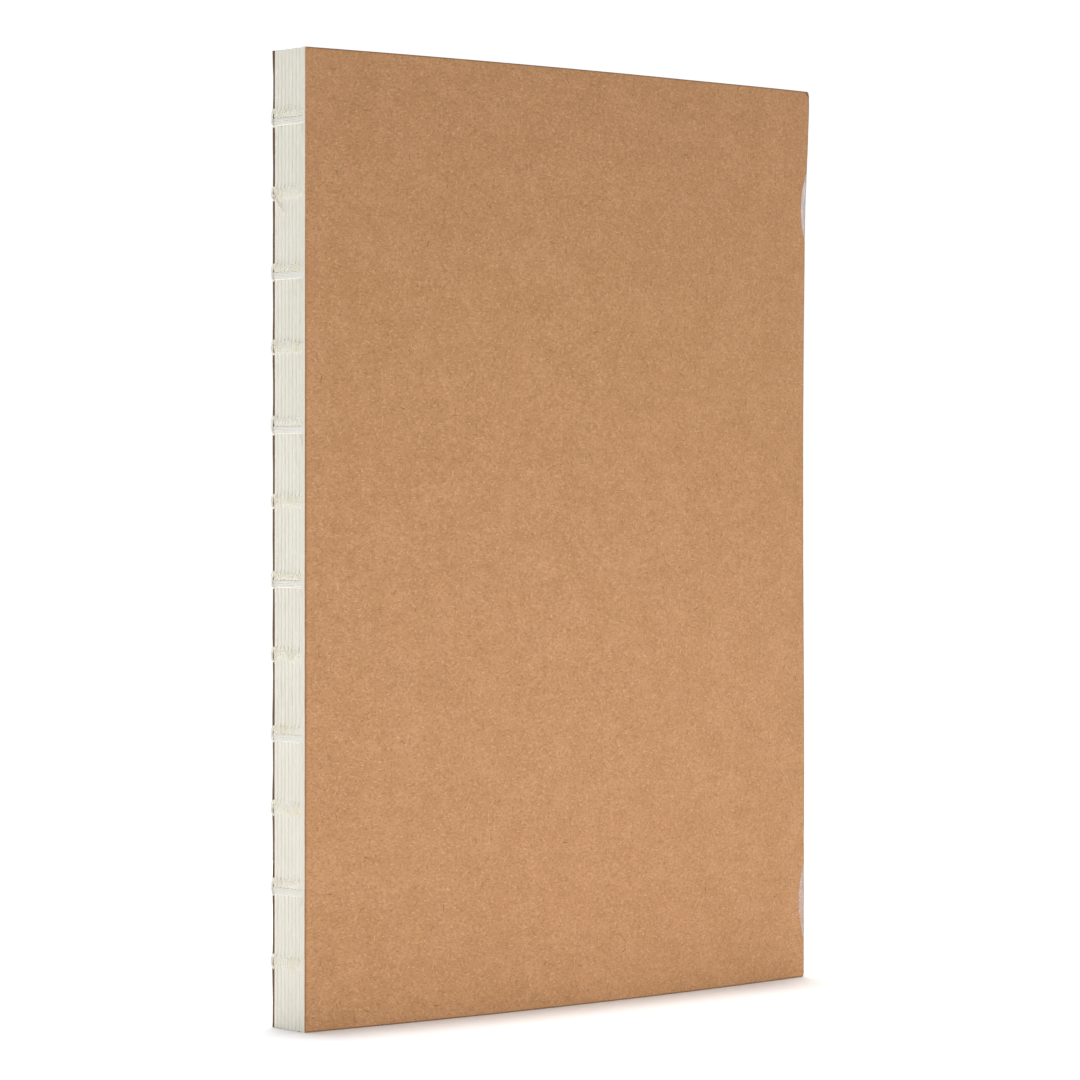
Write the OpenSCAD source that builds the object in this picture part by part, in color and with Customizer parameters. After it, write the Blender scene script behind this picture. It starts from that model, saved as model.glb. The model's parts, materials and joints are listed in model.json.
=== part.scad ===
// A6 pocket notebook: sewn signatures with an open spine, two kraft board covers,
// and two round clear seals that are slit along the fore-edge so the book can open.
// It stands on its tail edge. +Z runs tail to head, +X spine to fore-edge, and the
// front cover faces -Y. The origin is the middle of the bottom of the whole book.

/* [Pages] */
// Width of a page, spine to fore-edge
page_w = 105; // [74:1:148]
// Height of a page, tail to head
page_h = 148; // [140:1:210]
// Thickness of one sheet of paper
sheet_t = 0.088; // [0.08:0.001:0.1]
// Sheets folded into each signature
sheets = 4; // [2:1:4]
// Signatures sewn together
signatures = 8; // [5:1:10]

/* [Covers] */
// Thickness of a cover board
cover_t = 0.5; // [0.3:0.1:1]
// Radius of a cover's two fore-edge corners
cover_corner_r = 0.5; // [0.3:0.1:3]

/* [Sewing] */
// Sewing stations along the spine, an even number
stations = 12; // [4:2:12]
// Height of the lowest station
station_first = 9.85; // [6:0.05:15]
// Distance from one station to the next
station_pitch = 11.63; // [5:0.01:12]
// Radius of a needle hole through a fold
needle_hole_r = 0.125; // [0.12:0.005:0.15]
// Radius of the thread where it passes through a fold
thread_r = 0.1; // [0.08:0.005:0.1]
// Radius of the thread lying across the spine
link_r = 0.15; // [0.12:0.01:0.2]

/* [Seals] */
// Diameter of a round seal
seal_d = 25; // [22:1:30]
// Thickness of the clear film
film_t = 0.06; // [0.05:0.01:0.1]
// Height of the middle of the upper seal
upper_seal_z = 128.9; // [120:0.1:132]
// Height of the middle of the lower seal
lower_seal_z = 12.8; // [12:0.1:30]
// How far the upper seal reaches onto the front cover
upper_seal_reach = 1.3; // [1:0.1:3]
// How far the lower seal reaches onto the front cover
lower_seal_reach = 1.5; // [1:0.05:3]

/* [Hidden] */
$fn = 48;
sheet_gap = 0.005;   // between two nested sheets
fold_gap = 0.1435;   // inside the innermost fold, where the thread runs
signature_gap = 0.03;
film_gap = 0.05;     // between the film and the page edges
slit = 0.04;         // the cut through each seal
stitch_t = 0.12;     // thread pressed flat inside the fold
stitch_w = 0.3;
cut = 1;             // how far a cutting tool runs past what it cuts

signature_t = 2 * (sheets * sheet_t + (sheets - 1) * sheet_gap) + fold_gap;
pitch = signature_t + signature_gap;
block_t = signatures * pitch;
book_t = block_t + 2 * cover_t;
fold_r = signature_t / 2;

thread_proud = 2 * link_r;
total_w = thread_proud + page_w + film_gap + film_t;
spine_x = thread_proud - total_w / 2;
edge_x = spine_x + page_w;
fold_x = spine_x + fold_r;

SIGNATURES = [1 : signatures];
SHEETS = [1 : sheets];

function sheet_name(s, k) = str("signature_", s, "_sheet_", k);
function thread_name(s) = str("signature_", s, "_thread");
function signature_y(s) = -block_t / 2 + (s - 0.5) * pitch;
function station_z(i) = station_first + i * station_pitch;
function sheet_r(k) = fold_r - (k - 1) * (sheet_t + sheet_gap);

// A cover board lies in the XZ plane, its lower face in Y at y_low.
module board(y_low) {
    translate([0, y_low + cover_t, 0])
        rotate([90, 0, 0])
            linear_extrude(cover_t)
                difference() {
                    translate([spine_x, 0])
                        square([page_w, page_h]);
                    for (end = [0, 1])
                        corner_waste(end);
                }
}

// What the rounding takes off a fore-edge corner: the tail one (0) or the head one (1).
module corner_waste(end) {
    z = end * page_h;
    inward = 1 - 2 * end;
    difference() {
        translate([edge_x - cover_corner_r, end == 0 ? -cut : z - cover_corner_r])
            square([cover_corner_r + cut, cover_corner_r + cut]);
        translate([edge_x - cover_corner_r, z + inward * cover_corner_r])
            circle(cover_corner_r);
    }
}

module front_cover() {
    color("#b78a61")
        board(-book_t / 2);
}

module rear_cover() {
    color("#b78a61")
        board(block_t / 2);
}

// Section through a folded sheet: two leaves joined by a round fold.
module folded_outline(outer_r) {
    difference() {
        leaf_pair(outer_r, edge_x - fold_x);
        leaf_pair(outer_r - sheet_t, edge_x - fold_x + cut);
    }
}

module leaf_pair(r, length) {
    circle(r);
    translate([0, -r])
        square([length, 2 * r]);
}

// Needle holes go through the fold only, never the leaves.
module needle_holes() {
    for (i = [0 : stations - 1])
        translate([-fold_r - cut, 0, station_z(i)])
            rotate([0, 90, 0])
                cylinder(r = needle_hole_r, h = fold_r + cut);
}

// Sheet k of signature s; sheet 1 is the outermost.
module folded_sheet(s, k) {
    color("#f1ecdc")
        translate([fold_x, signature_y(s), 0])
            difference() {
                linear_extrude(page_h)
                    folded_outline(sheet_r(k));
                needle_holes();
            }
}

// The thread at one station: a link across the spine and a leg in through the fold.
module station_thread(i) {
    translate([-fold_r - link_r, 0, station_z(i)]) {
        rotate([90, 0, 0])
            cylinder(r = link_r, h = pitch - 2 * signature_gap, center = true);
        rotate([0, 90, 0])
            cylinder(r = thread_r, h = link_r + fold_r - sheet_gap);
    }
}

// The stitch from station i to station i + 1, inside the innermost fold.
module inner_stitch(i) {
    translate([-stitch_t / 2, -stitch_t / 2, station_z(i) - thread_r])
        cube([stitch_w, stitch_t, station_pitch + 2 * thread_r]);
}

// The sewing of signature s: a stitch for each pair of stations.
module signature_thread(s) {
    color("#f4f0e0")
        translate([fold_x, signature_y(s), 0])
            for (i = [0 : 2 : stations - 2]) {
                station_thread(i);
                station_thread(i + 1);
                inner_stitch(i);
            }
}

// A round seal wraps the fore-edge. It reaches a little way onto the front cover,
// crosses the page edges, and the rest of its round lies on the rear cover.
film_y = book_t / 2 + film_t;
film_x = edge_x + film_gap;
function seal_centre(reach) = seal_d / 2 - reach;

// Film on a cover: the side is -1 for the front and 1 for the rear.
module seal_flap(side, z, centre_x) {
    translate([0, side * (film_y - film_t / 2), 0])
        rotate([90, 0, 0])
            linear_extrude(film_t, center = true)
                intersection() {
                    translate([centre_x, z])
                        circle(d = seal_d, $fn = 96);
                    translate([centre_x - seal_d, z - seal_d])
                        square([film_x + film_t - centre_x + seal_d, 2 * seal_d]);
                }
}

// Film across the page edges, from a cover's outer face to the slit in the middle.
module seal_return(side, z, centre_y) {
    translate([film_x, 0, 0])
        rotate([90, 0, 90])
            linear_extrude(film_t)
                intersection() {
                    translate([centre_y, z])
                        circle(d = seal_d, $fn = 96);
                    translate([side < 0 ? -film_y : slit / 2, z - seal_d])
                        square([film_y - slit / 2, 2 * seal_d]);
                }
}

module seal_half(side, z, reach) {
    outer_x = film_x + film_t;
    flap_x = outer_x + (side < 0 ? seal_centre(reach) : 2 * film_y - seal_centre(reach));
    color("#dfe4e6", 0.35) {
        seal_flap(side, z, flap_x);
        seal_return(side, z, seal_centre(reach) - film_y);
    }
}

front_cover();
rear_cover();
for (s = SIGNATURES) {
    for (k = SHEETS)
        folded_sheet(s, k);
    signature_thread(s);
}
seal_half(-1, upper_seal_z, upper_seal_reach);  // upper_seal_front
seal_half(1, upper_seal_z, upper_seal_reach);  // upper_seal_rear
seal_half(-1, lower_seal_z, lower_seal_reach);  // lower_seal_front
seal_half(1, lower_seal_z, lower_seal_reach);  // lower_seal_rear
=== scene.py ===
"""Looks of the pocket notebook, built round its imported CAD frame.

Everything is in metres in the row frame: +Z from tail to head, +X from the spine to the
fore-edge, and the front cover faces -Y.
"""
import json
import math
import random

import bpy
import numpy as np
from mathutils import Matrix, Vector

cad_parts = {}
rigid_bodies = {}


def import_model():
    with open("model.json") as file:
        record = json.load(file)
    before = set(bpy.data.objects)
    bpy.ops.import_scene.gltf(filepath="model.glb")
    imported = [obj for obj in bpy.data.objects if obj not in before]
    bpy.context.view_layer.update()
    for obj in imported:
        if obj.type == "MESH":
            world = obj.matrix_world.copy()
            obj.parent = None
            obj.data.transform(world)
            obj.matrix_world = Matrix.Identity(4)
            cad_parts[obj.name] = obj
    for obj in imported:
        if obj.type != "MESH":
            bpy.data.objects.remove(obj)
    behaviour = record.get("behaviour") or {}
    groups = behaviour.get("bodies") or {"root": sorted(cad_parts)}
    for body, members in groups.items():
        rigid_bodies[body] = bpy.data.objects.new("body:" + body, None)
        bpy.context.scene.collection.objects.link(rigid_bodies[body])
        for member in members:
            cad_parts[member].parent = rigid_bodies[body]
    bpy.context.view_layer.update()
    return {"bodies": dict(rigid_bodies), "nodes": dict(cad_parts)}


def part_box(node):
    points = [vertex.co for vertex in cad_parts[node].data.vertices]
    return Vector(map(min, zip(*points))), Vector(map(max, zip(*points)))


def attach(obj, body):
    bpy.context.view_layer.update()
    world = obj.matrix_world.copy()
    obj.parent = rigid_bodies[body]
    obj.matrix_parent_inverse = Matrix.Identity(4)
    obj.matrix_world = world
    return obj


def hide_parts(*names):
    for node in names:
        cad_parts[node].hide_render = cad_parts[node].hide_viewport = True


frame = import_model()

MM = 0.001

# ---------------------------------------------------------------- sizes, from the frame
SIGNATURES = sum(name.startswith("signature_") for name in frame["bodies"])
SHEETS = sum(name.startswith("signature_1_sheet_") for name in frame["nodes"])
cover_lo, cover_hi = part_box("front_cover")
rear_lo, rear_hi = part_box("rear_cover")
thread_lo, thread_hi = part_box("signature_1_thread")
SPINE_X, EDGE_X = cover_lo.x, cover_hi.x
WIDTH, HEIGHT = EDGE_X - SPINE_X, cover_hi.z
BLOCK_T = rear_lo.y - cover_hi.y
PITCH = BLOCK_T / SIGNATURES
BOARD_T = cover_hi.y - cover_lo.y

STATIONS = 12            # sewing stations along the spine
LINK_R = 0.15 * MM       # radius of the CAD's thread, whose ends mark the stations
STATION_Z = np.linspace(thread_lo.z + LINK_R, thread_hi.z - LINK_R, STATIONS)

# The whole book is a little warped: it bows forward across its width, its fore-edge is
# drawn back, most of all above the middle, and its top fore-edge corner curls forward.
BOW = 2.55 * MM
PULL_ALL, PULL_MORE = 0.10 * MM, 0.45 * MM
PULL_HEIGHT, PULL_SPREAD = 0.60 * HEIGHT, 0.24 * HEIGHT
CURL, CURL_FROM = 0.80 * MM, 0.84 * HEIGHT
CURL_START = 0.7         # where the curl begins, as a share of the width


def smoothstep(low, high, v):
    """0 at low and 1 at high, smooth between them."""
    t = np.clip((v - low) / (high - low), 0, 1)
    return t * t * (3 - 2 * t)


def across(x):
    """0 at the spine, 1 at the fore-edge."""
    return np.clip((np.asarray(x) - SPINE_X) / WIDTH, 0, 1)


def warp(x, z):
    """How far forward (-Y) the warp carries a point of the book."""
    t = across(x)
    z = np.asarray(z)
    pull = PULL_ALL + PULL_MORE * np.exp(-(((z - PULL_HEIGHT) / PULL_SPREAD) ** 2))
    curl = CURL * smoothstep(CURL_FROM, HEIGHT, z) * smoothstep(CURL_START, 1.0, t)
    return BOW * 4 * t * (1 - t) - pull * t**3 + curl


# ---------------------------------------------------------------- mesh helpers
# Directions that no path in this file runs along, to measure its sides from
TUBE_ASIDE, TWIST_ASIDE = (0.31, 0.52, 0.79), (0.23, 0.91, 0.35)


class Builder:
    """Collects closed pieces of mesh, then makes one object of them.

    Each point has a value, which its material reads as the attribute "rim".
    """

    def __init__(self):
        self.verts, self.faces, self.values = [], [], []

    def add(self, points, faces, value=0.0):
        start = sum(len(v) for v in self.verts)
        points = np.asarray(points, float).reshape(-1, 3)
        self.verts.append(points)
        self.faces += [tuple(start + i for i in face) for face in faces]
        self.values.append(np.broadcast_to(value, (len(points),)))

    def slab(self, outer, inner, value=0.0):
        """A closed solid between two grids of points with the same rows and columns."""
        rows, cols = outer.shape[:2]
        back = rows * cols
        grid = np.arange(back).reshape(rows, cols).tolist()
        faces = []
        for low, high in zip(grid, grid[1:]):
            for j in range(cols - 1):
                quad = (low[j], high[j], high[j + 1], low[j + 1])
                faces.append(quad)
                faces.append(tuple(back + k for k in reversed(quad)))
        rim = [row[0] for row in grid]
        rim += grid[-1][1:]
        rim += [row[-1] for row in reversed(grid[:-1])]
        rim += grid[0][-2:0:-1]
        for a, b in zip(rim, rim[1:] + rim[:1]):
            faces.append((b, a, back + a, back + b))
        points = np.concatenate([outer.reshape(-1, 3), inner.reshape(-1, 3)])
        self.add(points, faces, value)

    def tube(self, path, radius, sides=8, value=0.0):
        """A round tube along a path, with capped ends."""
        path = np.asarray(path, float)
        count = len(path)
        tangent = np.gradient(path, axis=0)
        tangent /= np.linalg.norm(tangent, axis=1)[:, None]
        side = np.cross(tangent, TUBE_ASIDE)
        side /= np.linalg.norm(side, axis=1)[:, None]
        lift = np.cross(tangent, side)
        angle = np.arange(sides) * 2 * math.pi / sides
        ring = (np.cos(angle)[None, :, None] * side[:, None]
                + np.sin(angle)[None, :, None] * lift[:, None])
        points = path[:, None] + ring * radius
        faces = []
        for i in range(count - 1):
            for j in range(sides):
                m = (j + 1) % sides
                faces.append((i * sides + j, i * sides + m,
                              (i + 1) * sides + m, (i + 1) * sides + j))
        faces.append(tuple(reversed(range(sides))))
        faces.append(tuple((count - 1) * sides + j for j in range(sides)))
        self.add(points, faces, value=value)

    def make(self, name, material, body, replaced, crease=40):
        mesh = bpy.data.meshes.new(name)
        points = np.concatenate(self.verts)
        mesh.from_pydata(points.tolist(), [], self.faces)
        for polygon in mesh.polygons:
            polygon.use_smooth = True
        mesh.set_sharp_from_angle(angle=math.radians(crease))
        layer = mesh.attributes.new("rim", "FLOAT", "POINT")
        layer.data.foreach_set("value", np.concatenate(self.values).astype(np.float32))
        mesh.materials.append(material)
        obj = bpy.data.objects.new(name, mesh)
        bpy.context.scene.collection.objects.link(obj)
        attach(obj, body)
        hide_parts(replaced)


class Waves:
    """A smooth random height over (x, z), between about -1 and 1."""

    def __init__(self, seed, length_x, length_z, terms=4):
        draw = random.Random(seed)
        self.terms = [(draw.uniform(0.5, 1.5) / length_x, draw.uniform(0.5, 1.5) / length_z,
                       draw.uniform(0, 2 * math.pi), draw.uniform(0, 2 * math.pi))
                      for _ in range(terms)]

    def __call__(self, x, z):
        total = 0
        for fx, fz, px, pz in self.terms:
            wave_x = np.sin(2 * math.pi * fx * x + px)
            wave_z = np.sin(2 * math.pi * fz * z + pz)
            total = total + wave_x * wave_z
        return total / len(self.terms)


# ---------------------------------------------------------------- material helpers
class Nodes:
    """Short ways to write a node material whose pattern is laid out in millimetres."""

    def __init__(self, name):
        self.material = bpy.data.materials.new(name)
        self.material.use_nodes = True
        self.tree = self.material.node_tree
        self.shader = self.tree.nodes["Principled BSDF"]
        coordinates = self.tree.nodes.new("ShaderNodeTexCoord")
        scale = self.new("ShaderNodeVectorMath", operation="SCALE")
        self.link(coordinates.outputs["Object"], scale.inputs[0])
        scale.inputs["Scale"].default_value = 1 / MM
        self.mm = scale.outputs[0]

    def new(self, kind, **settings):
        node = self.tree.nodes.new(kind)
        for key, value in settings.items():
            setattr(node, key, value)
        return node

    def link(self, a, b):
        self.tree.links.new(a, b)

    def feed(self, socket, value):
        if isinstance(value, bpy.types.NodeSocket):
            self.link(value, socket)
        elif value is not None:
            socket.default_value = value

    def math(self, operation, a, b=None, c=None):
        node = self.new("ShaderNodeMath", operation=operation)
        for socket, value in zip(node.inputs, (a, b, c)):
            self.feed(socket, value)
        return node.outputs[0]

    def stretch(self, x=1.0, y=1.0, z=1.0):
        node = self.new("ShaderNodeVectorMath", operation="MULTIPLY")
        self.link(self.mm, node.inputs[0])
        node.inputs[1].default_value = (x, y, z)
        return node.outputs[0]

    def noise(self, size, detail=2.0, rough=0.5, vector=None):
        """Noise whose lumps are about size millimetres across."""
        node = self.new("ShaderNodeTexNoise")
        self.link(vector or self.mm, node.inputs["Vector"])
        node.inputs["Scale"].default_value = 1 / size
        node.inputs["Detail"].default_value = detail
        node.inputs["Roughness"].default_value = rough
        return node.outputs["Fac"]

    def noise_shift(self, amount, size):
        """The place in millimetres, shifted about by noise."""
        node = self.new("ShaderNodeTexNoise")
        self.link(self.mm, node.inputs["Vector"])
        node.inputs["Scale"].default_value = 1 / size
        centred = self.new("ShaderNodeVectorMath", operation="SUBTRACT")
        self.link(node.outputs["Color"], centred.inputs[0])
        centred.inputs[1].default_value = (0.5, 0.5, 0.5)
        shift = self.new("ShaderNodeVectorMath", operation="MULTIPLY_ADD")
        self.link(centred.outputs[0], shift.inputs[0])
        shift.inputs[1].default_value = (amount,) * 3
        self.link(self.mm, shift.inputs[2])
        return shift.outputs[0]

    def span(self, value, low, high, out_low=0.0, out_high=1.0, smooth=True):
        node = self.new("ShaderNodeMapRange",
                        interpolation_type="SMOOTHSTEP" if smooth else "LINEAR")
        self.feed(node.inputs["Value"], value)
        node.inputs["From Min"].default_value = low
        node.inputs["From Max"].default_value = high
        node.inputs["To Min"].default_value = out_low
        node.inputs["To Max"].default_value = out_high
        return node.outputs["Result"]

    def mix(self, amount, a, b):
        node = self.new("ShaderNodeMix", data_type="RGBA")
        self.feed(node.inputs["Factor"], amount)
        self.feed(node.inputs["A"], a)
        self.feed(node.inputs["B"], b)
        return node.outputs["Result"]

    def attribute(self, name):
        return self.new("ShaderNodeAttribute", attribute_name=name).outputs["Fac"]

    def bump(self, height, distance, strength):
        node = self.new("ShaderNodeBump")
        self.link(height, node.inputs["Height"])
        node.inputs["Distance"].default_value = distance
        node.inputs["Strength"].default_value = strength
        return node.outputs["Normal"]

    def fibres(self, cell, length, width, share, curl=1.2, offset=0.0):
        """A mask of short curled fibres on the XZ plane, at most one in each cell."""
        flat = self.new("ShaderNodeSeparateXYZ")
        self.link(self.mm, flat.inputs[0])
        plane = self.new("ShaderNodeCombineXYZ")
        self.link(self.math("MULTIPLY_ADD", flat.outputs["X"], 1 / cell, offset),
                  plane.inputs["X"])
        self.link(self.math("MULTIPLY_ADD", flat.outputs["Z"], 1 / cell, offset),
                  plane.inputs["Y"])
        cells = self.new("ShaderNodeTexVoronoi", voronoi_dimensions="2D")
        cells.inputs["Scale"].default_value = 1.0
        self.link(plane.outputs[0], cells.inputs["Vector"])
        chance = self.new("ShaderNodeSeparateColor")
        self.link(cells.outputs["Color"], chance.inputs[0])
        away = self.new("ShaderNodeVectorMath", operation="SUBTRACT")
        self.link(plane.outputs[0], away.inputs[0])
        self.link(cells.outputs["Position"], away.inputs[1])
        turn = self.new("ShaderNodeVectorRotate", rotation_type="Z_AXIS")
        self.link(away.outputs[0], turn.inputs["Vector"])
        self.link(self.math("MULTIPLY", chance.outputs[0], 2 * math.pi), turn.inputs["Angle"])
        local = self.new("ShaderNodeSeparateXYZ")
        self.link(turn.outputs[0], local.inputs[0])
        along, off = local.outputs["X"], local.outputs["Y"]
        curve = self.math("MULTIPLY", self.math("MULTIPLY", along, along),
                          self.span(chance.outputs[1], 0, 1, -curl, curl, smooth=False))
        off = self.math("ABSOLUTE", self.math("SUBTRACT", off, curve))
        half_w, half_l = width / cell / 2, length / cell / 2
        thin = self.span(off, half_w * 0.4, half_w, 1, 0)
        short = self.span(self.math("ABSOLUTE", along), half_l * 0.75, half_l, 1, 0)
        some = self.math("LESS_THAN", chance.outputs[2], share)
        return self.math("MULTIPLY", self.math("MULTIPLY", thin, short), some)


def rgb(red, green, blue):
    """An sRGB colour from 0 to 255 as the linear colour that Blender wants."""
    linear = [((v / 255 + 0.055) / 1.055) ** 2.4 if v > 10 else v / 255 / 12.92
              for v in (red, green, blue)]
    return (*linear, 1.0)


CREASE_AT = 1.0          # millimetres from the front cover's bent corner, along x plus z
CREASE_HALF = (0.14, 0.32)    # half the width of the crease's painted shade, where it is dark and where it ends


def painted_crease_shade(n):
    """Painted shade: a thin dark line along the crease where the front cover's top fore-edge corner
    was once bent.
    """
    place = n.new("ShaderNodeSeparateXYZ")
    n.link(n.noise_shift(0.12, 0.9), place.inputs[0])
    corner = (EDGE_X + HEIGHT) / MM - CREASE_AT
    along = n.math("ADD", place.outputs["X"], place.outputs["Z"])
    off = n.math("ABSOLUTE", n.math("SUBTRACT", along, corner))
    line = n.span(off, *CREASE_HALF, 0.9, 0)
    return n.math("MULTIPLY", line, n.math("LESS_THAN", place.outputs["Y"], cover_hi.y / MM))


def kraft_board():
    """Unbleached board: mottled, with dark and pale fibres.

    Its "rim" is 1 where the board is cut, and -1 where the cut is under cream glue. The cut's dark
    brown is partly the board's own colour and partly painted shade.
    """
    n = Nodes("kraft_board")
    cloud = n.noise(6.0, 3, 0.5)
    patch = n.noise(1.6, 3, 0.55, n.stretch(0.6, 1, 1))
    grain = n.noise(0.28, 3, 0.65, n.stretch(0.55, 1, 1))
    base = n.mix(n.span(cloud, 0.3, 0.7), rgb(173, 128, 87), rgb(179, 134, 94))
    base = n.mix(n.span(patch, 0.35, 0.65, 0, 0.35), base, rgb(160, 117, 76))
    base = n.mix(n.span(grain, 0.28, 0.5, 0.55, 0), base, rgb(140, 100, 64))
    base = n.mix(n.span(grain, 0.5, 0.72, 0, 0.5), base, rgb(203, 157, 114))
    for cell, length, offset in ((1.9, 0.55, 3.7), (1.4, 0.7, 37.3)):
        pale = n.fibres(cell, length, 0.14, 0.45, curl=2.0, offset=offset)
        base = n.mix(n.math("MULTIPLY", pale, 0.42), base, rgb(218, 180, 146))
    for cell, length, offset in ((1.5, 0.75, 11.3), (1.9, 0.9, 17.1), (1.1, 0.6, 29.7)):
        faint = n.fibres(cell, length, 0.14, 0.55, curl=2.2, offset=offset)
        base = n.mix(n.math("MULTIPLY", faint, 0.40), base, rgb(108, 74, 46))
    dark = n.fibres(6.5, 1.0, 0.16, 0.13, offset=23.9)
    base = n.mix(n.math("MULTIPLY", dark, 0.7), base, rgb(78, 50, 32))
    edge = n.attribute("rim")
    # The cut edge's dark brown: partly the cut board's own colour, partly painted shade
    rough_cut = n.noise(0.25, 3, 0.7, n.stretch(1, 1, 0.4))
    cut = n.mix(n.span(rough_cut, 0.3, 0.7), rgb(84, 60, 44), rgb(122, 89, 62))
    base = n.mix(edge, base, cut)
    base = n.mix(n.math("MULTIPLY", edge, -1.0), base, rgb(236, 232, 219))
    # Painted shade along the crease of the bent corner
    base = n.mix(painted_crease_shade(n), base, rgb(88, 57, 36))
    n.link(base, n.shader.inputs["Base Color"])
    n.link(n.span(grain, 0.3, 0.7, 0.72, 0.88), n.shader.inputs["Roughness"])
    n.shader.inputs["Specular IOR Level"].default_value = 0.3
    n.shader.inputs["Sheen Weight"].default_value = 0.04
    height = n.math("ADD", n.math("MULTIPLY", grain, 0.7), n.math("MULTIPLY", patch, 0.5))
    height = n.math("SUBTRACT", height, n.math("MULTIPLY", dark, 0.25))
    normal = n.bump(height, 0.03 * MM, 0.8)
    n.link(normal, n.shader.inputs["Normal"])
    return n.material


def cream_paper():
    """Uncoated writing paper, faintly uneven, with a fine fibre and a duller cut edge."""
    n = Nodes("cream_paper")
    cloud = n.noise(7.0, 3, 0.5)
    grain = n.noise(0.3, 4, 0.65)
    fold = n.noise(1.1, 3, 0.6, n.stretch(1, 1, 0.22))
    base = n.mix(n.span(cloud, 0.3, 0.7), rgb(235, 232, 219), rgb(239, 235, 224))
    base = n.mix(n.span(fold, 0.35, 0.7, 0, 0.25), base, rgb(226, 222, 206))
    base = n.mix(n.span(grain, 0.35, 0.65, 0, 0.35), base, rgb(245, 243, 235))
    base = n.mix(n.math("MULTIPLY", n.attribute("rim"), 0.35), base, rgb(216, 209, 193))
    n.link(base, n.shader.inputs["Base Color"])
    n.link(n.span(grain, 0.3, 0.7, 0.78, 0.92), n.shader.inputs["Roughness"])
    n.shader.inputs["Specular IOR Level"].default_value = 0.25
    n.link(n.bump(grain, 0.012 * MM, 0.7), n.shader.inputs["Normal"])
    return n.material


def sewing_thread():
    """Unbleached cotton thread, slightly yellower than the paper where "rim" is low."""
    n = Nodes("sewing_thread")
    strand = n.noise(0.12, 3, 0.6)
    tone = n.noise(2.6, 2, 0.5)
    base = n.mix(n.span(tone, 0.35, 0.65), rgb(240, 235, 214), rgb(246, 243, 232))
    base = n.mix(n.span(strand, 0.4, 0.75, 0, 0.3), base, rgb(226, 220, 200))
    base = n.mix(n.attribute("rim"), base, rgb(233, 231, 224))
    n.link(base, n.shader.inputs["Base Color"])
    n.link(n.span(strand, 0.3, 0.7, 0.6, 0.85), n.shader.inputs["Roughness"])
    n.shader.inputs["Sheen Weight"].default_value = 0.25
    n.shader.inputs["Sheen Roughness"].default_value = 0.5
    n.link(n.bump(strand, 0.02 * MM, 0.9), n.shader.inputs["Normal"])
    return n.material


def clear_film():
    """Clear glossy film with faint ripples and patches of painted glare, whiter and less clear where
    "rim" is high: at its cut edge, and where a painted reflection lies on a front flap.
    """
    n = Nodes("clear_film")
    ripple = n.noise(3.0, 2, 0.5)
    haze = n.noise(0.6, 3, 0.6)
    glare = n.noise(5.0, 1, 0.5)
    base = n.mix(n.attribute("rim"), rgb(232, 228, 234), rgb(250, 250, 251))
    n.link(base, n.shader.inputs["Base Color"])
    n.link(n.span(haze, 0.3, 0.7, 0.08, 0.2), n.shader.inputs["Roughness"])
    # Opacity: faint haze, patches of painted glare, and "rim" (cut edge and painted reflection)
    alpha = n.math("ADD", n.span(haze, 0.3, 0.7, 0.05, 0.09),
                   n.span(glare, 0.35, 0.7, 0, 0.10))
    alpha = n.math("ADD", alpha, n.math("MULTIPLY", n.attribute("rim"), 0.50))
    n.link(alpha, n.shader.inputs["Alpha"])
    n.shader.inputs["Coat Weight"].default_value = 0.6
    n.shader.inputs["Coat Roughness"].default_value = 0.06
    n.link(n.bump(ripple, 0.05 * MM, 0.5), n.shader.inputs["Normal"])
    return n.material


def floor_paper():
    """The studio's plain pale floor."""
    n = Nodes("studio_floor")
    paper = n.noise(40.0, 2, 0.5)
    n.link(n.mix(n.span(paper, 0.3, 0.7), rgb(250, 250, 251), rgb(252, 252, 252)),
           n.shader.inputs["Base Color"])
    n.shader.inputs["Roughness"].default_value = 0.9
    n.shader.inputs["Specular IOR Level"].default_value = 0.1
    return n.material


KRAFT = kraft_board()
PAPER = cream_paper()
THREAD = sewing_thread()
FILM = clear_film()


# ---------------------------------------------------------------- covers
TAIL_CORNER_R = 0.6 * MM     # the two fore-edge corners of a cover
HEAD_CORNER_R = 0.3 * MM
CORNER_BEND = 0.22           # slope of the front cover's bent corner
ARRIS = 0.13 * MM            # the softened edge of the cut board
ARRIS_STEPS = (0, 0.2, 0.5, 1.0, 2.0, 4.0)
EDGE_SHARE = 0.55            # how much of the outer half of its thickness the very edge keeps
RAGGED = 0.06 * MM           # how uneven the cut edge is
SWELLING = 0.015 * MM        # how uneven the board's faces are
OUTLINE = 0.2 * MM           # width of the darker line along the cut edge, partly painted shade
GLUE_REACH = 3.5             # arris widths from a glued spine edge to where the board is plain


def spread(low, high, count):
    """Steps from low to high, with extra ones close to both ends."""
    ends = ARRIS * np.array(ARRIS_STEPS)
    inner = np.linspace(low + ends[-1] * 1.5, high - ends[-1] * 1.5, count)
    return np.concatenate([low + ends, inner, high - ends[::-1]])


def round_corners(x, z):
    """Moves the grid's points near the two fore-edge corners onto rounded corners."""
    radius = np.where(z < HEIGHT / 2, TAIL_CORNER_R, HEAD_CORNER_R)
    a = np.clip((x - (EDGE_X - radius)) / radius, 0, 1)
    low = np.clip((radius - z) / radius, 0, 1)
    high = np.clip((z - (HEIGHT - radius)) / radius, 0, 1)
    b = low + high
    new_x = x - radius * a * (1 - np.sqrt(1 - b * b / 2))
    inward = radius * b * (1 - np.sqrt(1 - a * a / 2))
    return new_x, z + np.where(low > 0, inward, -inward)


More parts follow.
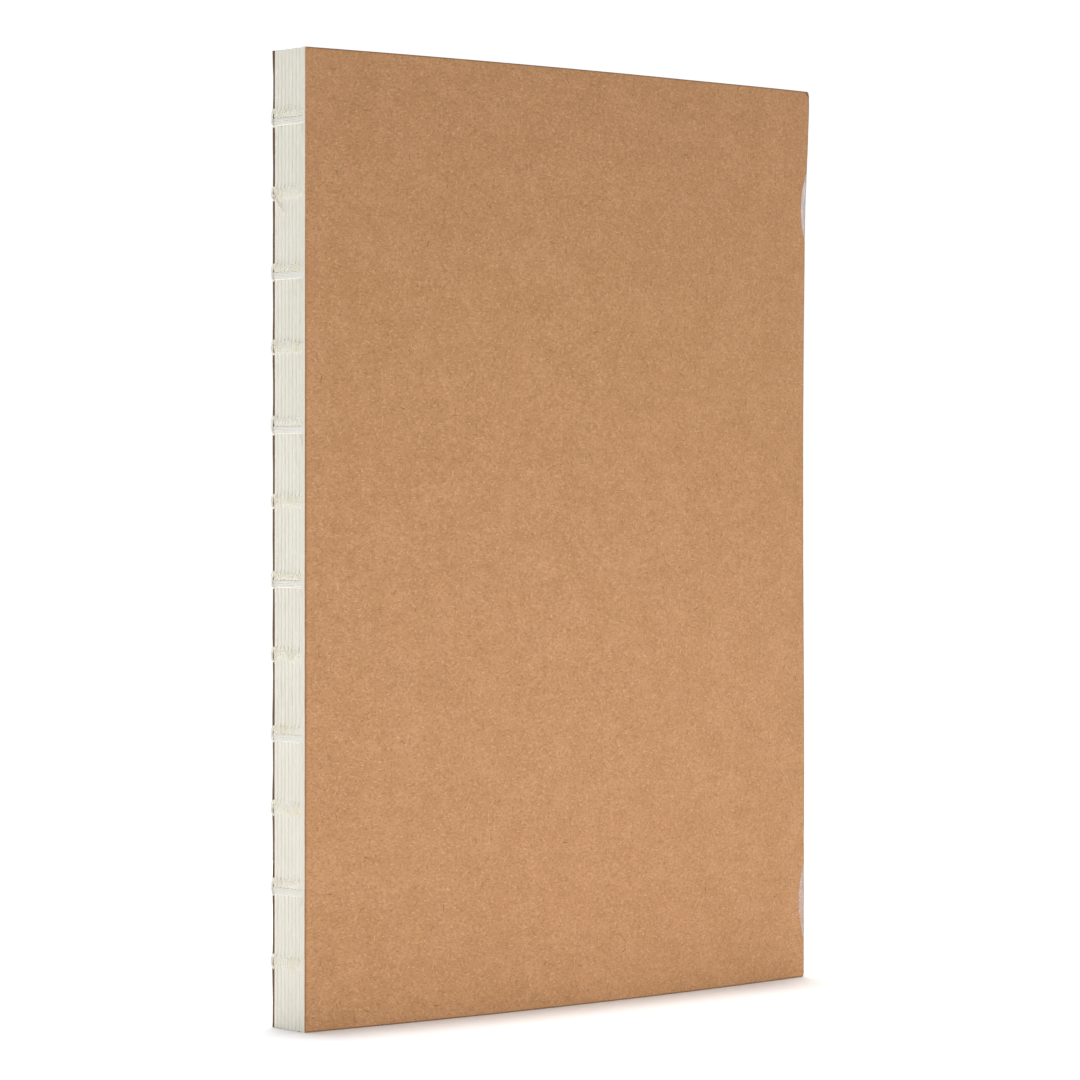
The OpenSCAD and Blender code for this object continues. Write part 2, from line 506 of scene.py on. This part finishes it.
def glued_spine(inward, z):
    """The "rim" near a glued spine edge: cream glue, then a faint dark line beside it,
    partly the cut edge and partly painted shade where the cover meets the folds.

    inward is each column's distance from the edge, in arris widths. The line fades upwards.
    """
    glue = np.interp(inward, (0.25, 0.6), (-1, 0))
    line = 0.7 * np.interp(inward, (0.3, 1.0, 2.0, GLUE_REACH), (0, 1, 0.6, 0))
    low_part = smoothstep(0.9 * HEIGHT, 0.6 * HEIGHT, z)
    return line[:, None] * low_part + glue[:, None]


def cover(name, lo, hi, seed, spine_wave, glued):
    """A cover board with soft cut edges, darker partly by painted shade, following the warp of the
    book.

    A glued board's edge at the spine is under the cream glue of the binding, with a faint
    dark line beside it, most of all in the lower part: partly the board's cut edge, partly
    painted shade where the cover meets the folds.
    """
    xs, zs = spread(SPINE_X, EDGE_X, 64), spread(0, HEIGHT, 96)
    x, z = np.meshgrid(xs, zs, indexing="ij")
    distance = np.minimum(np.minimum(x - SPINE_X, EDGE_X - x), np.minimum(z, HEIGHT - z))
    inset = np.clip(distance / ARRIS, 0, 1)
    inner_half = BOARD_T / 2
    outer_half = inner_half * (EDGE_SHARE + (1 - EDGE_SHARE) * np.sqrt(1 - (1 - inset) ** 2))
    halves = (outer_half, inner_half)
    half_front, half_back = halves if lo.y < 0 else halves[::-1]
    x, z = round_corners(x, z)
    ragged = Waves(seed, 3 * MM, 2.2 * MM, 6)
    near_spine = smoothstep(4 * MM, 0, x - SPINE_X)
    x = x + near_spine * spine_wave * (1 + Waves(seed + 1, 90 * MM, 17 * MM, 5)(0 * x, z))
    x = x + RAGGED * ragged(x, z) * (1 - inset)
    middle = (lo.y + hi.y) / 2 - warp(x, z)
    if glued:
        bent = np.clip(CREASE_AT * MM - (EDGE_X - x) - (HEIGHT - z), 0, None)
        middle = middle + CORNER_BEND * bent
    middle = middle + SWELLING * Waves(seed + 2, 30 * MM, 40 * MM)(x, z)
    front = np.stack([x, middle - half_front, z], -1)
    back = np.stack([x, middle + half_back, z], -1)
    # The darker line along the cut edge: partly the board's own cut colour, partly painted shade
    outline = np.clip(1.25 - distance / OUTLINE, 0, 1)
    # Beside a glued spine edge: cream glue, then a dark line of partly painted shade
    if glued:
        inward = (xs - SPINE_X) / ARRIS
        beside = inward[:, None] < GLUE_REACH
        outline = np.where(beside, glued_spine(inward, z), outline)
    outline = outline.ravel()
    builder = Builder()
    builder.slab(front, back, value=np.concatenate([outline, outline]))
    builder.make(name + "_board", KRAFT, name, name)


# ---------------------------------------------------------------- folded sheets
PAPER_T = 0.088 * MM             # thickness of one sheet
SHEET_STEP = 0.093 * MM          # from one sheet's fold to the next one inside it
SIGNATURE_GAP = 0.03 * MM        # between two signatures
FOLD_R = (PITCH - SIGNATURE_GAP) / 2
FOLD_X = SPINE_X + FOLD_R
FOLD_FADE = 9 * MM               # how far from the fold the leaves have spread to even gaps
SQUARENESS = 2.7                 # a pressed fold is squarer than a half circle
LEAF_STEPS = np.array([1, 0.999, 0.985, 0.93, 0.82, 0.7, 0.58, 0.46, 0.34, 0.22, 0.12,
                       0.06, 0.025, 0.008])      # along a leaf, from its edge to the fold
HOLE_Z = STATION_Z + 1.0 * MM    # the needle dimples, under the tops of the loops
SWELL = 0.03 * MM                # the fold swells a little where it is sewn
HOLE_DEPTH = 0.14 * MM           # of a needle dimple
HOLE_STEPS = (-2.2, -1.5, -0.9, -0.5, -0.14, 0, 0.14, 0.6, 1.3)    # rows near a dimple, mm
PLAIN_STEPS = (-0.9, -0.14, 0, 0.14)      # the same for the inner sheets


def middle_y(signature):
    """The middle of a signature's thickness, before the warp."""
    return cover_hi.y + (signature - 0.5) * PITCH


def sheet_rows(fine):
    """Heights of a sheet's rows of points, closest at the stitches."""
    steps = HOLE_STEPS if fine else PLAIN_STEPS
    rows = [z + step * MM for z in HOLE_Z for step in steps]
    rows += list(np.linspace(HOLE_Z[-1] + 3 * MM, HEIGHT - 0.1 * MM, 4))
    rows += [0, 0.08 * MM, 3 * MM, 6 * MM, HEIGHT - 0.05 * MM, HEIGHT]
    between = (HOLE_Z[:-1] + HOLE_Z[1:]) / 2
    rows += [z + step * MM for z in between for step in ((-2, 0, 2) if fine else (0,))]
    return np.array(sorted(rows))


def fold_wobble(signature, z):
    """How far in from the spine plane this signature's fold lies, least where it is sewn."""
    slow = 0.025 * MM * (1 + Waves(40 + signature, 50 * MM, 24 * MM)(0 * z, z))
    swell = sum(np.exp(-(((z - s) / (1.6 * MM)) ** 2)) for s in STATION_Z)
    return slow + SWELL * (1 - swell)


def sheet(signature, number):
    """One folded sheet: two leaves and the fold between them."""
    fine = number == 1
    rows = sheet_rows(fine)
    arc = np.radians(np.linspace(90, -90, 15 if fine else 11))
    draw = random.Random(100 * signature + number)
    side_lengths = [EDGE_X - draw.uniform(0, 0.16) * MM for _ in range(2)]
    tilt = [draw.uniform(-0.05, 0.05) * MM for _ in range(2)]
    head, tail = draw.uniform(0, 0.14) * MM, draw.uniform(0, 0.07) * MM
    even_gap = PITCH / (2 * SHEETS)
    z = rows[None, :] * (HEIGHT - head - tail) / HEIGHT + tail
    wobble = fold_wobble(signature, z)
    sway = 0.025 * MM * Waves(60 + signature, 50 * MM, 30 * MM)(0 * z, z)
    centre = middle_y(signature)

    def skin(inside):
        radius = FOLD_R - (number - 1) * SHEET_STEP - inside * PAPER_T
        even = PITCH / 2 - (even_gap - PAPER_T) / 2 - (number - 1) * even_gap - inside * PAPER_T
        lines = []
        for side, steps in ((1, LEAF_STEPS), (-1, LEAF_STEPS[::-1])):
            for step in steps:
                length = side_lengths[side < 0] + tilt[side < 0] * (z / HEIGHT - 0.5)
                x = FOLD_X + (length - FOLD_X) * step
                fade = smoothstep(FOLD_FADE, 0, x - FOLD_X)
                off = even + (radius - even) * fade
                lines.append((x + wobble * fade, centre + side * off + sway * fade))
            if side > 0:
                for angle in arc:
                    c, s = abs(math.cos(angle)), math.sin(angle)
                    out = radius * c ** (2 / SQUARENESS)
                    off = radius * math.copysign(abs(s) ** (2 / SQUARENESS), s)
                    x = FOLD_X - out + wobble
                    if abs(s) < 0.01:
                        x = x + HOLE_DEPTH * np.isin(rows, HOLE_Z)[None, :]
                    lines.append((x, centre + off + sway))
        x = np.stack([np.broadcast_to(line[0], z.shape)[0] for line in lines])
        y = np.stack([np.broadcast_to(line[1], z.shape)[0] for line in lines])
        heights = np.broadcast_to(z, x.shape)
        return np.stack([x, y - warp(x, heights), heights], -1)

    outer, inner = skin(0), skin(1)
    edge = np.zeros(outer.shape[:2])
    edge[[0, -1], :] = 1
    edge[:, [0, -1]] = 1
    rim = np.concatenate([edge.ravel(), edge.ravel()])
    builder = Builder()
    builder.slab(outer, inner, value=rim)
    name = f"signature_{signature}_sheet_{number}"
    builder.make(name + "_paper", PAPER, f"signature_{signature}", name,
                 crease=50)


# ---------------------------------------------------------------- sewing
PLY_R = 0.085 * MM               # radius of one ply of the thread
TWIST = 0.9 * MM                 # length of one turn of the plies
LOOP_TOP = 1.25 * MM             # from a station to the top of its loops
STRONG_FOOT, WEAK_FOOT = -0.15 * MM, -0.75 * MM      # every other station is a strong one
GROOVE_PLY_R = 0.05 * MM         # the thread down in the groove between two signatures
LAST_PLY_R = 0.10 * MM           # the thread that comes round the last signature
LOOSE_R, END_R = 0.11 * MM, 0.06 * MM     # the loose tail of thread, and the cut ends
INNER_PLY_R = 0.03 * MM          # the stitches inside the fold


# The loose tail's course over the last three signatures, as millimetres across and up from
# the middle of the last but one signature at the second station from the top
LOOSE_TAIL = ((1.35, 0.2), (0.9, -0.35), (0.0, -1.35), (-0.9, -2.3), (-1.3, -2.8))


def smooth_path(points, step):
    """A Catmull-Rom curve through the points, at about even steps."""
    p = np.asarray(points, float)
    p = np.vstack([2 * p[0] - p[1], p, 2 * p[-1] - p[-2]])
    out = []
    for a, b, c, d in zip(p, p[1:], p[2:], p[3:]):
        count = max(2, int(np.linalg.norm(c - b) / step))
        t = np.linspace(0, 1, count, endpoint=False)[:, None]
        out.append(0.5 * (2 * b + (c - a) * t + (2 * a - 5 * b + 4 * c - d) * t**2
                          + (3 * b - a - 3 * c + d) * t**3))
    return np.vstack(out + [p[-2][None]])


def twisted(builder, points, ply_r=PLY_R, plies=2, step=0.09 * MM, phase=0.0, value=0.0):
    """A thread of plies twisted round each other along a path."""
    path = smooth_path(points, step)
    tangent = np.gradient(path, axis=0)
    tangent /= np.linalg.norm(tangent, axis=1)[:, None]
    side = np.cross(tangent, TWIST_ASIDE)
    side /= np.linalg.norm(side, axis=1)[:, None]
    lift = np.cross(tangent, side)
    run = np.concatenate([[0], np.cumsum(np.linalg.norm(np.diff(path, axis=0), axis=1))])
    for ply in range(plies):
        angle = (2 * math.pi * (run / TWIST + ply / plies) + phase)[:, None]
        centre = path + ply_r * (np.cos(angle) * side + np.sin(angle) * lift)
        builder.tube(centre, ply_r, sides=6, value=value)


def straight_runs(builder, centre, station, slope, last):
    """Five flat threads side by side across one signature, pressed into one band."""
    down = np.linspace(0, 1, 41)
    u = np.array((-0.505, -0.47, -0.25, 0, 0.25, 0.47, 0.505))
    if last:
        u = np.append(u[:-1], (0.6, 0.68))
    out = 0.01 + 0.05 * np.abs(np.sin(5 * math.pi * down)) - 0.12 * (2 * down - 1) ** 8
    out = out[:, None] - 0.10 * np.isin(np.arange(len(u)), (0, len(u) - 1))[None, :]
    y = np.broadcast_to(centre + u * MM, out.shape)
    z = station - (0.02 + 1.2 * down[:, None] + slope * u[None, :]) * MM
    outer = np.stack([SPINE_X - out * MM, y, z], -1)
    inner = outer.copy()
    inner[..., 0] = SPINE_X + 0.12 * MM
    builder.slab(outer, inner, value=0.8)


def stitching(signature):
    """All the thread of one signature: its loops and straight runs, and the inner stitches."""
    draw = random.Random(500 + signature)
    builder = Builder()
    centre = middle_y(signature)
    inner_x = FOLD_X - FOLD_R + SHEETS * SHEET_STEP + 0.05 * MM
    last, first = signature == SIGNATURES, signature == 1

    def place(u, z, out):
        """A point u and out millimetres across and out from the fold's crest, at height z."""
        x = SPINE_X - out * MM
        return (x, centre + u * MM, z)

    for k, station in enumerate(STATION_Z):
        strong = k % 2 == 1
        rise = draw.uniform(-0.22, 0.22) * MM
        lean = draw.uniform(-0.08, 0.08)
        top = station + LOOP_TOP + rise
        foot = station + (STRONG_FOOT if strong else WEAK_FOOT) + rise
        for side in (-1, 1):
            twisted(builder, [
                place(side * 0.12, top + 0.12 * MM, -0.36),
                place(side * 0.18, top + 0.10 * MM, -0.20),
                place(side * 0.31, top - 0.20 * MM, -0.12),
                place(side * 0.27 + lean, (top + foot) / 2, -0.09),
                place(side * 0.14 + lean, foot + 0.25 * MM, -0.11),
                place(side * 0.07 + lean, foot, -0.16),
                place(side * 0.05 + lean, foot - 0.02 * MM, -0.32),
            ], phase=draw.uniform(0, 6))
            twisted(builder, [
                place(side * 0.41, top - 0.1 * MM, -0.22), place(side * 0.41, top - 0.4 * MM, -0.15),
                place(side * 0.41, (top + foot) / 2, -0.14), place(side * 0.41, foot, -0.2),
            ], ply_r=GROOVE_PLY_R, phase=draw.uniform(0, 6))
        if strong:
            straight_runs(builder, centre, station, draw.uniform(-0.08, 0.08), last)
        if last:
            low = station - (1.3 if strong else 0.8) * MM
            twisted(builder, [
                place(0.26, top, -0.05), place(0.50, top - 0.25 * MM, 0.12),
                place(0.62, (top + low) / 2, 0.18), place(0.52, low + 0.3 * MM, 0.14),
                place(0.30, low, -0.04),
            ], ply_r=LAST_PLY_R, plies=3, phase=draw.uniform(0, 6), value=0.4)
        if first and strong:
            builder.tube(smooth_path([
                place(-0.1, station - 1.3 * MM, 0.05), place(-0.2, station - 1.8 * MM, 0.14),
                place(-0.28, station - draw.uniform(2.2, 3.0) * MM, 0.10)], 0.15 * MM),
                END_R, sides=6)
    tail_station = STATION_Z[-2]
    whole = smooth_path([(y, z, 0.2 + 0.03 * math.sin(4 * z)) for y, z in LOOSE_TAIL], 0.1)
    offset = (signature - (SIGNATURES - 1)) * PITCH / MM
    mine = whole[np.abs(whole[:, 0] - offset) <= PITCH / MM / 2]
    if len(mine) > 3:
        builder.tube([(SPINE_X - h * MM, middle_y(SIGNATURES - 1) + y * MM,
                       tail_station + z * MM) for y, z, h in mine], LOOSE_R, sides=8)
    for low, high in zip(STATION_Z[0::2], STATION_Z[1::2]):
        twisted(builder, [
            (inner_x - 0.3 * MM, centre, low + 0.5 * MM),
            (inner_x + 0.02 * MM, centre, low + 0.7 * MM),
            (inner_x + 0.03 * MM, centre, (low + high) / 2),
            (inner_x + 0.02 * MM, centre, high + 0.3 * MM),
            (inner_x - 0.3 * MM, centre, high + 0.5 * MM)],
            ply_r=INNER_PLY_R, step=0.4 * MM)
    name = f"signature_{signature}_thread"
    builder.make(f"signature_{signature}_stitching", THREAD, f"signature_{signature}", name,
                 crease=80)


# ---------------------------------------------------------------- seals
SEAL_D = 25 * MM         # the disc's diameter
FILM_T = 0.06 * MM       # the film's thickness
FILM_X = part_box("upper_seal_front")[1].x
FILM_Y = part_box("upper_seal_rear")[1].y
BEND_R = 0.35 * MM       # of the film round the edges of the book
SLIT = 0.04 * MM         # the cut between a seal's two halves
SEAL_ROWS, SEAL_COLUMNS = 41, 29
CUT_TONE = 0.25          # how white the film's cut edge is
FLAP_SHARE = 0.78        # how much of the front flap's reach is left once it is pressed down


def wrapped(s, depth):
    """The point (x, y) at a length s along the film, depth under its outer face.

    s is 0 at the front corner of the fore-edge and negative on the front cover.
    """
    quarter = BEND_R * math.pi / 2
    saved = 2 * BEND_R - quarter
    width = 2 * FILM_Y - saved
    s = np.asarray(s, float)
    mirrored = s > width / 2
    s = np.where(mirrored, width - s, s) + BEND_R - saved / 2
    turn = np.clip(s / quarter, 0, 1) * math.pi / 2
    radius = BEND_R - depth
    x = FILM_X - BEND_R + radius * np.sin(turn) + np.minimum(s, 0)
    y = -FILM_Y + BEND_R - radius * np.cos(turn) + np.maximum(s - quarter, 0)
    return x, np.where(mirrored, -y, y)


def seal(name, body, front, seed, painted_reflection):
    """Half of a round film seal, wrapped round the fore-edge and slit along its middle.

    The last argument sets how white a painted reflection makes the flap on the front cover.
    """
    reach = (FILM_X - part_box(name.replace("rear", "front"))[0].x) / FLAP_SHARE
    lo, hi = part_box(name)
    z_mid = (lo.z + hi.z) / 2
    radius = SEAL_D / 2
    s_mid = radius - reach
    cut = FILM_Y - BEND_R + BEND_R * math.pi / 4 - SLIT / 2 * (1 if front else -1)
    tallest = math.sqrt(radius**2 - (s_mid - cut) ** 2) if front else radius
    angles = np.linspace(-90, 90, SEAL_ROWS)
    z = tallest * np.sin(np.radians(angles)) * 0.9995
    chord = np.sqrt(radius**2 - z**2)
    start, stop = s_mid - chord, s_mid + chord
    if front:
        stop = np.minimum(stop, cut)
        start = np.minimum(start, stop)
    else:
        start = np.maximum(start, cut)
    share = np.linspace(0, 1, SEAL_COLUMNS)
    s = start[None] + (stop - start)[None] * share[:, None]
    s = np.where(s < 0, s * FLAP_SHARE, s)
    heights = np.broadcast_to(z + z_mid, s.shape)
    lift = 0.02 * MM * (1 + Waves(seed, 3 * MM, 4 * MM)(s, heights))

    def skin(depth):
        x, y = wrapped(s, depth)
        outward = np.sign(y)
        y = y + np.where(x < FILM_X - BEND_R, outward * lift, 0)
        return np.stack([x, y - warp(x, heights), heights], -1)

    # The flap on the front cover is whitened by the painted reflection; the film's cut edge is
    # whiter all round
    edge = painted_reflection * smoothstep(0.1 * MM, -0.3 * MM, s)
    edge[[0, -1], :] = np.maximum(edge[[0, -1], :], CUT_TONE)
    edge[:, [0, -1]] = np.maximum(edge[:, [0, -1]], CUT_TONE)
    rim = np.concatenate([edge.ravel(), edge.ravel()])
    builder = Builder()
    builder.slab(skin(0), skin(FILM_T), value=rim)
    builder.make(name + "_film", FILM, body, name, crease=60)


# ---------------------------------------------------------------- the notebook
cover("front_cover", cover_lo, cover_hi, 11, 0.0, True)
cover("rear_cover", rear_lo, rear_hi, 23, 0.16 * MM, False)
for signature in range(1, SIGNATURES + 1):
    for number in range(1, SHEETS + 1):
        sheet(signature, number)
    stitching(signature)
# The upper seal's front flap carries a strong painted reflection, the lower seal's a faint one
for level, painted_reflection in (("upper", 0.5), ("lower", 0.1)):
    seal(level + "_seal_front", "front_cover", True, 71, painted_reflection)
    seal(level + "_seal_rear", "rear_cover", False, 73, 0.0)


# ---------------------------------------------------------------- studio
def floor():
    """A large flat floor under the book."""
    size, cells = 6.0, 24
    steps = np.linspace(-size / 2, size / 2, cells + 1)
    x, y = np.meshgrid(steps, steps, indexing="ij")
    points = np.stack([x, y, np.zeros_like(x)], -1).reshape(-1, 3)
    faces = [(i * (cells + 1) + j, (i + 1) * (cells + 1) + j,
              (i + 1) * (cells + 1) + j + 1, i * (cells + 1) + j + 1)
             for i in range(cells) for j in range(cells)]
    mesh = bpy.data.meshes.new("studio_floor")
    mesh.from_pydata(points.tolist(), [], faces)
    mesh.materials.append(floor_paper())
    obj = bpy.data.objects.new("studio_floor", mesh)
    bpy.context.scene.collection.objects.link(obj)


AMBIENT = 0.30           # the studio's even light
BACKDROP = 1.02          # the white that shows behind the book
OVERHEAD = 2.65          # strength of the light from straight above
OVERHEAD_WIDTH = 7.5     # its width in degrees, which sets how far the contact shadow fades
OVERHEAD_FROM = (0.035, 0.038, 1)      # a little from behind, so that the shadow shows
# The low strip lights: name, place, the point it faces, width and height, watts
STRIPS = (
    ("low_front", (0.02, -0.18, 0.008), (0.01, 0, 0.012), (0.42, 0.03), 0.385),
    ("low_side", (-0.30, -0.03, 0.05), (-0.05, 0, 0.03), (0.20, 0.06), 0.06),
    ("low_back", (0.02, 0.22, 0.02), (0.01, 0, 0.03), (0.44, 0.04), 0.45),
)


def overhead_light():
    """The light from straight above, which casts the contact shadow."""
    data = bpy.data.lights.new("overhead", "SUN")
    data.energy = OVERHEAD
    data.angle = math.radians(OVERHEAD_WIDTH)
    obj = bpy.data.objects.new("overhead", data)
    obj.rotation_euler = Vector(OVERHEAD_FROM).to_track_quat("Z", "Y").to_euler()
    bpy.context.scene.collection.objects.link(obj)


def soft_light(name, at, towards, size, watts):
    """A rectangular light that the camera doesn't see."""
    data = bpy.data.lights.new(name, "AREA")
    data.shape = "RECTANGLE"
    data.size, data.size_y = size
    data.energy = watts
    obj = bpy.data.objects.new(name, data)
    obj.location = at
    obj.rotation_euler = (Vector(towards) - Vector(at)).to_track_quat("-Z", "Y").to_euler()
    obj.visible_camera = False
    bpy.context.scene.collection.objects.link(obj)


def studio():
    """Even white surroundings, the floor and the lights."""
    world = bpy.data.worlds.new("studio")
    world.use_nodes = True
    tree = world.node_tree
    background = tree.nodes["Background"]
    background.inputs["Color"].default_value = (1, 1, 1, 1)
    path = tree.nodes.new("ShaderNodeLightPath")
    strength = tree.nodes.new("ShaderNodeMapRange")
    strength.inputs["To Min"].default_value = AMBIENT
    strength.inputs["To Max"].default_value = BACKDROP
    tree.links.new(path.outputs["Is Camera Ray"], strength.inputs["Value"])
    tree.links.new(strength.outputs["Result"], background.inputs["Strength"])
    bpy.context.scene.world = world
    floor()
    overhead_light()
    for strip in STRIPS:
        soft_light(*strip)


# The photograph's camera, placed from the front cover's outer corner at the spine
HEADING, PITCH_DOWN, ROLL = math.radians(40.567), math.radians(0.8405), math.radians(0.0836)
CAMERA_BACK, CAMERA_RIGHT, CAMERA_UP = 589.56 * MM, 35.33 * MM, 82.78 * MM
LENS, SENSOR = 131.04, 36.0      # in millimetres, as Blender has them
CLIP = (0.01, 20.0)


def camera():
    look = Vector((math.sin(HEADING), math.cos(HEADING), 0))
    right = Vector((math.cos(HEADING), -math.sin(HEADING), 0))
    corner = Vector((SPINE_X, cover_lo.y, 0))
    data = bpy.data.cameras.new("camera")
    data.lens, data.sensor_width = LENS, SENSOR
    data.clip_start, data.clip_end = CLIP
    obj = bpy.data.objects.new("camera", data)
    obj.location = corner - look * CAMERA_BACK + right * CAMERA_RIGHT + Vector((0, 0, CAMERA_UP))
    forward = look * math.cos(PITCH_DOWN) - Vector((0, 0, math.sin(PITCH_DOWN)))
    up = right.cross(forward)
    tilted_right = right * math.cos(ROLL) + up * math.sin(ROLL)
    tilted_up = up * math.cos(ROLL) - right * math.sin(ROLL)
    rotation = Matrix((tilted_right, tilted_up, -forward)).transposed()
    obj.rotation_euler = rotation.to_euler()
    bpy.context.scene.collection.objects.link(obj)
    bpy.context.scene.camera = obj


studio()
camera()
bpy.context.scene.view_settings.view_transform = "Standard"
